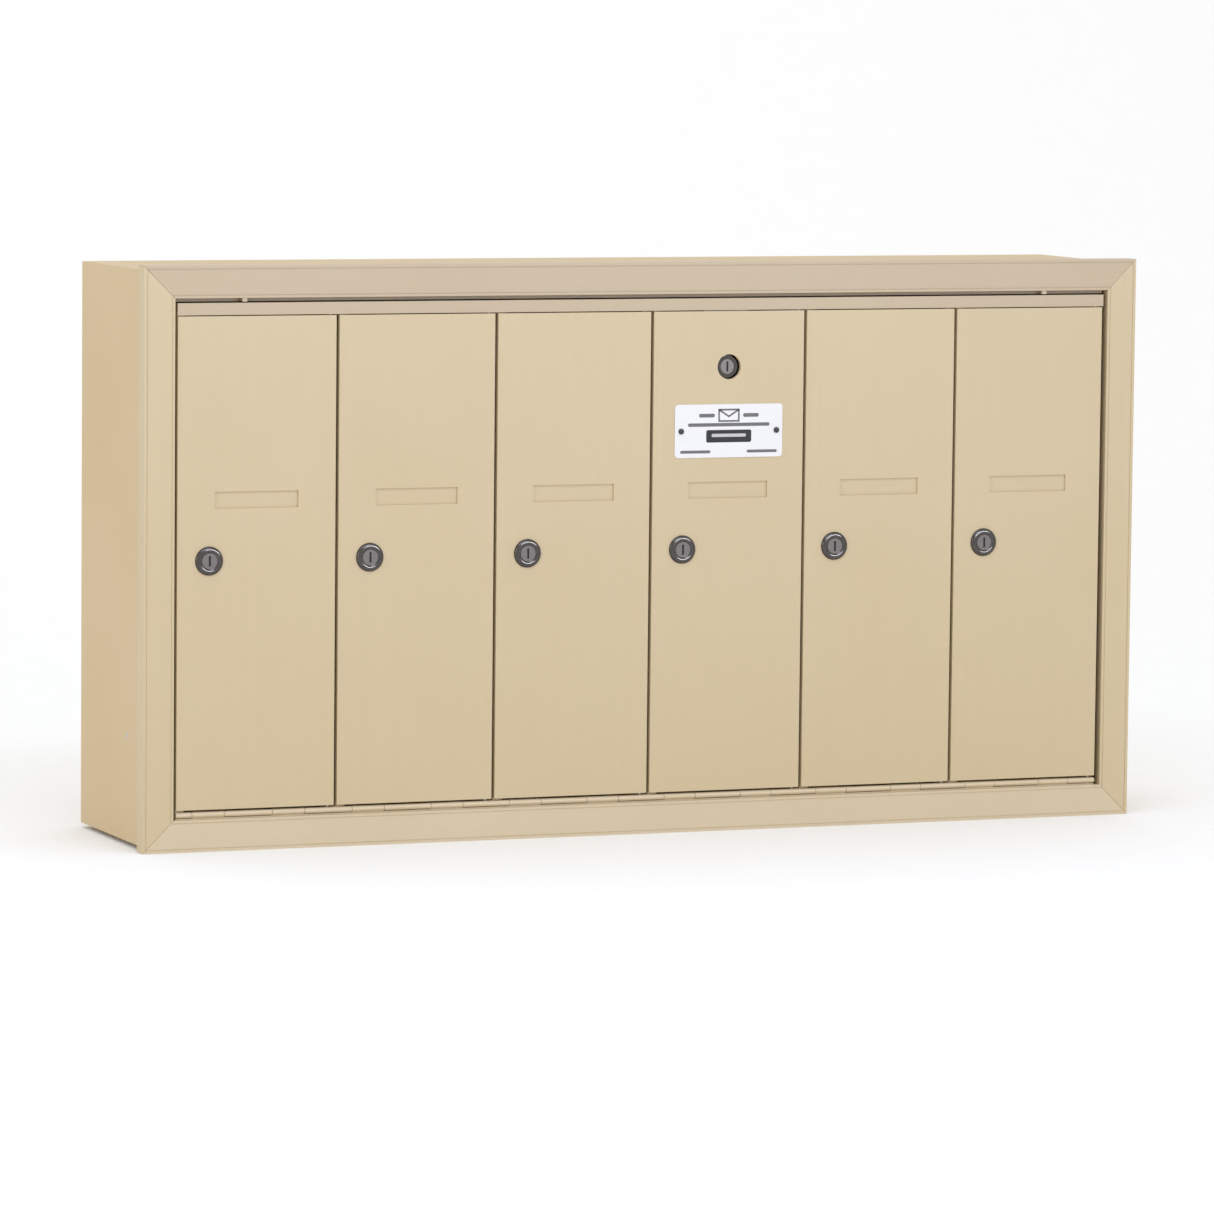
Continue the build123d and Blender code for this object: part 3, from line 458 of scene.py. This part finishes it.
def bezel_profile(r_in, r_out, y_front, y_seat, steps=14):
    """Dish from r_in up to a crest, then a quarter ellipse down to the seat at r_out."""
    crest = r_in + (r_out - r_in) * CREST_AT
    dish_t = np.linspace(0, 1, 8)
    dish = np.stack([r_in + (crest - r_in) * dish_t,
                     y_front + (y_seat - y_front) * DISH_DEPTH * (1 - dish_t) ** 2], -1)
    a = np.linspace(0, math.pi / 2, steps)[1:]
    roll = np.stack([crest + (r_out - crest) * np.sin(a),
                     y_seat - (y_seat - y_front) * np.cos(a)], -1)
    return np.concatenate([dish, roll])


print("thread ridges in 10 mm:", int(10 * MM / THREAD_PITCH))


# %% Tenant lock housings
def ring_surface(name, profile, x, z, material, count=96):
    """Closed profile loop (radius, y) carried round the Y axis, so the solid is a ring."""
    profile = np.asarray(profile, dtype=float)
    angle = np.arange(count) * 2 * math.pi / count
    r = profile[:, 0][:, None]
    y = profile[:, 1][:, None] + np.zeros(count)
    grid = np.stack([x + r * np.cos(angle), y, z + r * np.sin(angle)], axis=-1).reshape(-1, 3)
    rows = len(profile)
    i, j = np.meshgrid(np.arange(rows), np.arange(count), indexing="ij")
    i2, k = (i + 1) % rows, (j + 1) % count
    quads = np.stack([i * count + j, i * count + k, i2 * count + k, i2 * count + j], -1).reshape(-1, 4)
    return make_mesh(name, grid, quads.tolist(), material)


CORNER_EASE = 1.10
CHAMFER = 0.4 * MM


def hexagon_ring(name, x, z, flat_r, bore_r, y0, y1, material, count=96):
    """Nut: an outer loop whose radius is flat_r / cos of the angle to the nearest flat, and a round
    bore; the two faces and two walls are strips between the four loops."""
    angle = np.arange(count) * 2 * math.pi / count
    to_flat = (angle + math.pi / 6) % (math.pi / 3) - math.pi / 6
    outer = flat_r / np.cos(to_flat)
    easing = np.minimum(outer, flat_r * CORNER_EASE)
    rings = [(outer, y0), (outer, y1 - CHAMFER), (easing, y1), (np.full(count, bore_r), y1),
             (np.full(count, bore_r), y0)]
    grid = np.concatenate([np.stack([x + r * np.cos(angle), np.full(count, y), z + r * np.sin(angle)], -1)
                           for r, y in rings])
    i, j = np.meshgrid(np.arange(len(rings)), np.arange(count), indexing="ij")
    i2, k = (i + 1) % len(rings), (j + 1) % count
    quads = np.stack([i * count + j, i * count + k, i2 * count + k, i2 * count + j], -1).reshape(-1, 4)
    return make_mesh(name, grid, quads.tolist(), material, smooth=False)


def mark_sharp(obj, degrees=35):
    """Smooth shading that breaks at edges sharper than an angle."""
    bm = bmesh.new()
    bm.from_mesh(obj.data)
    bmesh.ops.recalc_face_normals(bm, faces=bm.faces)
    for edge in bm.edges:
        edge.smooth = edge.calc_face_angle(0) < math.radians(degrees)
    for face in bm.faces:
        face.smooth = True
    bm.to_mesh(obj.data)
    bm.free()
    return obj


def tenant_housing(number):
    """Bezel, threaded barrel and nut of one tenant lock, on its door."""
    node = f"door_{number}_lock_housing"
    plug_box = f"door_{number}_lock_plug"
    mid = centre(plug_box)
    front, back = low(node)[1], high(node)[1]
    nut_half = (high(node)[2] - low(node)[2]) / 2
    bore = (high(plug_box)[0] - low(plug_box)[0]) / 2 + PLUG_PLAY
    seat = low(f"door_{number}_panel")[1]
    door_back = seat + DOOR_THICK
    bezel = bezel_profile(bore, BEZEL_R, front, seat)
    thread = thread_profile(BARREL_R, door_back + THREAD_LEAD_IN, back - THREAD_LEAD_OUT)
    tail = np.array([[TAIL_R, back], [bore, back]])
    neck = np.array([[NECK_R, seat], [NECK_R, door_back]])
    loop = np.concatenate([bezel, neck, thread, tail])
    body = f"door_{number}"
    barrel = mark_sharp(ring_surface(f"lock_barrel_{number}", loop, mid[0], mid[2], chrome))
    nut = mark_sharp(hexagon_ring(f"lock_nut_{number}", mid[0], mid[2], nut_half, BARREL_R, door_back,
                                  door_back + NUT_THICK, zinc))
    for piece in (barrel, nut):
        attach(piece, body)
        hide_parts(node)
    return barrel


barrels = [tenant_housing(n) for n in door_numbers]
print("lock barrels", len(barrels), "faces each", len(barrels[0].data.polygons))


# %% [markdown]
# ## Shade plates in the key slots
# Behind each key slot sits a near-black plate, painted shade for the deep slot. It is what makes the slot
# read as black.
# It is a small plate with round ends, set a little below the plug's face and turning with the plug.

# %% Shade plates in the key slots
SLOT_SHADE_W, SLOT_SHADE_H, SLOT_SHADE_CORNER = 1.76 * MM, 8.5 * MM, 0.3 * MM
SLOT_SHADE_SET, SLOT_SHADE_THICK = 0.7 * MM, 0.8 * MM


def key_slot_shade_plate(name, plug_node, body):
    """Round-ended near-black plate, painted shade, that fills the key slot just behind the plug's face.
    """
    mid = centre(plug_node)
    face = low(plug_node)[1]
    outline = round_box(mid[0], mid[2], SLOT_SHADE_W, SLOT_SHADE_H, SLOT_SHADE_CORNER)
    piece = pushed(name, outline, face + SLOT_SHADE_SET, face + SLOT_SHADE_SET + SLOT_SHADE_THICK, slot_shade_black)
    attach(piece, body)
    return mark_sharp(piece)


for n in door_numbers:
    key_slot_shade_plate(f"key_slot_shade_plate_{n}", f"door_{n}_lock_plug", f"door_{n}_lock")
key_slot_shade_plate("key_slot_shade_plate_master", "master_lock_plug", "master_lock_barrel")
print("key shutters", len(door_numbers) + 1)


# %% [markdown]
# ## Notice artwork
# The plate carries a plain envelope mark between two short bars, a rule under it, a dark rounded bar
# with a pale line inside, and two short rules in the lower corners. Each is a layer of ink 0.04 mm
# thick, pushed out from an outline. Lines with corners are strokes: two offset copies of a path,
# joined into one outline.

# %% Ink shapes
plate_low, plate_high = low("label_plate"), high("label_plate")
plate_mid = (plate_low + plate_high) / 2
plate_w = plate_high[0] - plate_low[0]
plate_h = plate_high[2] - plate_low[2]
INK = 0.04 * MM


def ink(name, outline, material, under=0.0):
    """Ink layer standing on the plate's front face, or on another layer of a given thickness."""
    piece = pushed(name, outline, plate_low[1] - under - INK, plate_low[1] - under, material)
    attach(piece, "door_4")
    return mark_sharp(piece)


def on_plate(u, v):
    """Point at u of the plate's width from its middle and v of its height from its middle."""
    return plate_mid[0] + u * plate_w, plate_mid[2] + v * plate_h


def stroke(points, width):
    """Outline of an open path of a width: each point is moved half the width along the mean normal
    of its two runs, stretched to keep the width at corners, out on one side and back on the other."""
    p = np.asarray(points, dtype=float)
    run = np.diff(p, axis=0)
    run /= np.linalg.norm(run, axis=1)[:, None]
    normal = np.stack([-run[:, 1], run[:, 0]], -1)
    before = np.vstack([normal[:1], normal])
    after = np.vstack([normal, normal[-1:]])
    mean = before + after
    mean /= (mean * before).sum(axis=1)[:, None]
    return np.concatenate([p + mean * width / 2, (p - mean * width / 2)[::-1]])


def plate_bar(u, v, width, height, corner):
    """Round-cornered bar on the plate: place and size as shares of the plate, corner in metres."""
    return round_box(*on_plate(u, v), width * plate_w, height * plate_h, corner)


HEADING_V = 0.29
ink("notice_bar", plate_bar(0, -0.10, 0.42, 0.235, 1.6 * MM), ink_black)
ink("notice_bar_line", plate_bar(0, -0.085, 0.32, 0.06, 1.2 * MM), ink_pale, INK)
ink("notice_rule", plate_bar(0, 0.115, 0.76, 0.065, 1.2 * MM), ink_grey)
for side, tag in ((-1, "left"), (1, "right")):
    ink(f"notice_foot_{tag}", plate_bar(side * 0.31, -0.39, 0.28, 0.055, 1.0 * MM), ink_grey)
print("ink bars on a plate of", round(plate_w, 4), "by", round(plate_h, 4))

# %% Envelope mark
ENV_W, ENV_H, LINE = 18 * MM, 9.6 * MM, 1.5 * MM
FLAP_DROP = 0.10
cx, cz = on_plate(0, HEADING_V)
left, right = cx - ENV_W / 2, cx + ENV_W / 2
foot, head = cz - ENV_H / 2, cz + ENV_H / 2
flap = [(left, head), (cx, cz - FLAP_DROP * ENV_H), (right, head)]
ink("envelope_flap", stroke(flap, LINE), ink_grey)
for tag, path in (("foot", [(left - LINE / 2, foot), (right + LINE / 2, foot)]),
                  ("head", [(left - LINE / 2, head), (right + LINE / 2, head)]),
                  ("left", [(left, foot + LINE / 2), (left, head - LINE / 2)]),
                  ("right", [(right, foot + LINE / 2), (right, head - LINE / 2)])):
    ink(f"envelope_{tag}", stroke(path, LINE), ink_grey)
for side, tag in ((-1, "left"), (1, "right")):
    ink(f"heading_bar_{tag}", plate_bar(side * 0.205, HEADING_V, 0.145, 0.07, 1.2 * MM), ink_grey)
print("envelope", round(ENV_W / MM), "by", round(ENV_H / MM), "mm")

# %% [markdown]
# ## Rivet domes
# The plate's rivets have low round heads. A dome is a quarter ellipse turned round the rivet's axis.

# %% Domes on the notice rivets
rivet_low, rivet_high = low("label_rivets"), high("label_rivets")
head_r = (rivet_high[2] - rivet_low[2]) / 2
DOME_RISE, DOME_LAP = 0.35 * MM, 0.02 * MM
DOME_COUNT = 48
dome_t = np.linspace(0, math.pi / 2, 10)


def dome_profile(radius, y_top, y_base):
    """Quarter ellipse from the crown on the axis to the rim, then back to the axis."""
    arc = np.stack([radius * np.sin(dome_t), y_base - (y_base - y_top) * np.cos(dome_t)], -1)
    return np.vstack([arc, [[0.0, y_base]]])


for x, tag in ((rivet_low[0] + head_r, "left"), (rivet_high[0] - head_r, "right")):
    profile = dome_profile(head_r, rivet_low[1] - DOME_RISE, rivet_low[1] + DOME_LAP)
    piece = mark_sharp(turned(f"rivet_dome_{tag}", profile, x, plate_mid[2], rivet_black_and_gap_shade, DOME_COUNT))
    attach(piece, "door_4")
print("rivet dome radius", round(head_r / MM, 2), "mm")

# %% [markdown]
# ## Studio
# A product is shown on a pale sweep: a floor that curves up into a back wall, so there is no
# horizon. The sweep is a profile carried sideways. A wide soft box in front and above gives the
# doors their pale, slightly cool upper half, a second fills from the left, a third lifts the wall
# behind, and the world is an even soft white. A low one at the right only adds sheen: it stands near
# the mirror direction, so the coat's upper half pales and each bezel gets one bright spot. The
# sweep's paper is clear to a camera behind it, so the unit can be looked at from the back as well.

# %% Floor sweep
def sweep(name, half_width, front, back, height, radius, material):
    """Profile y, z: flat floor, quarter circle of a radius, then a wall; carried along X."""
    a = np.linspace(0, math.pi / 2, 24)
    curve = np.stack([back - radius + radius * np.sin(a), radius - radius * np.cos(a)], -1)
    profile = np.vstack([[front, 0.0], curve, [back, height]])
    xs = np.array([-half_width, half_width])
    n = len(profile)
    grid = np.stack([np.repeat(xs, n), np.tile(profile[:, 0], 2), np.tile(profile[:, 1], 2)], -1)
    i = np.arange(n - 1)
    return make_mesh(name, grid, np.stack([i, i + n, i + n + 1, i + 1], -1).tolist(), material)


def clear_from_behind(material):
    """Let the camera, and only the camera, see through the back of a surface, for views from there."""
    tree = material.node_tree
    output = next(item for item in tree.nodes if item.type == "OUTPUT_MATERIAL")
    solid = output.inputs["Surface"].links[0].from_socket
    side = add(tree, "ShaderNodeNewGeometry").outputs["Backfacing"]
    seen = add(tree, "ShaderNodeLightPath").outputs["Is Camera Ray"]
    both = add(tree, "ShaderNodeMath", {}, {0: side, 1: seen}, operation="MULTIPLY")
    clear = add(tree, "ShaderNodeBsdfTransparent")
    mix = add(tree, "ShaderNodeMixShader", {}, {0: both.outputs[0], 1: solid, 2: clear.outputs[0]})
    tree.links.new(mix.outputs[0], output.inputs["Surface"])
    return material


backdrop = clear_from_behind(coated("pale_paper_sweep", "#FBFBFA", "#F8F8F7", 0.9, 3 * MM, 0.05 * MM))
FLOOR_HALF, FLOOR_FRONT, WALL_AT, WALL_HIGH, SWEEP_R = 9.0, -6.0, 4.5, 6.0, 2.0
floor = sweep("studio_floor", FLOOR_HALF, FLOOR_FRONT, WALL_AT, WALL_HIGH, SWEEP_R, backdrop)
print("floor from y =", FLOOR_FRONT, "m to", WALL_AT, "m")


# %% Lights
def soft_box(name, place, target, width, height, power, tint, sheen_only=False):
    """Rectangular area light aimed at a point, which can be seen only as a sheen on gloss."""
    light = bpy.data.lights.new(name, "AREA")
    light.shape = "RECTANGLE"
    light.size, light.size_y, light.energy = width, height, power
    light.color = linear(tint)[:3]
    lamp = bpy.data.objects.new(name, light)
    bpy.context.scene.collection.objects.link(lamp)
    lamp.location = place
    lamp.visible_diffuse = not sheen_only
    aim = np.array(target) - np.array(place)
    lamp.rotation_euler = Vector(aim.tolist()).to_track_quat("-Z", "Y").to_euler()
    return lamp


MIDDLE, UPPER = (0.0, 0.0, 0.24), (0.0, 0.0, 0.42)
LOW_WALL = (0.0, 4.4, 1.0)
WORLD_STRENGTH = 0.95
WHITE, COOL, FAINTLY_COOL = "#FFFFFF", "#D0DFFF", "#EAF1FF"
soft_box("key_box", (-0.4, -1.4, 1.8), UPPER, 1.8, 0.45, 13, COOL)
soft_box("fill_box", (-3.0, -1.6, 0.9), MIDDLE, 1.2, 1.2, 6, WHITE)
soft_box("sheen_box", (1.0, -2.6, 0.95), UPPER, 1.8, 0.5, 45, FAINTLY_COOL, sheen_only=True)
soft_box("wall_box", (0.0, 2.2, 3.4), LOW_WALL, 5.0, 1.0, 12, WHITE)
world = bpy.data.worlds.new("soft_white")
world.use_nodes = True
background = world.node_tree.nodes["Background"]
background.inputs["Color"].default_value = linear(WHITE)
background.inputs["Strength"].default_value = WORLD_STRENGTH
bpy.context.scene.world = world
bpy.context.scene.view_settings.view_transform = "Standard"

# %% [markdown]
# ## Camera
# A long lens from the left and a little above, over five metres off, keeps door lines nearly upright.
# The turn is given by three angles: yaw about the upright, pitch below level and a slight roll.

# %% Camera
yaw, pitch, roll = math.radians(21.69), math.radians(-5.492), math.radians(0.588)
front_y = low("trim_top")[1]
eye = np.array([-2.0856, -5.1425 + front_y, 0.7255])
LENS, SENSOR_WIDTH = 196.3, 36.0
ahead = np.array([math.sin(yaw) * math.cos(pitch), math.cos(yaw) * math.cos(pitch), math.sin(pitch)])
level = np.array([math.cos(yaw), -math.sin(yaw), 0.0])
upright = np.cross(level, ahead)
right_axis = math.cos(roll) * level + math.sin(roll) * upright
up_axis = -math.sin(roll) * level + math.cos(roll) * upright
cam_data = bpy.data.cameras.new("camera")
cam_data.lens, cam_data.sensor_width = LENS, SENSOR_WIDTH
camera = bpy.data.objects.new("camera", cam_data)
turn = np.stack([right_axis, up_axis, -ahead], axis=1)
camera.matrix_world = Matrix.Translation(eye.tolist()) @ Matrix(turn.tolist()).to_4x4()
bpy.context.scene.collection.objects.link(camera)
bpy.context.scene.camera = camera
print("camera at", eye.round(3), "lens", LENS)
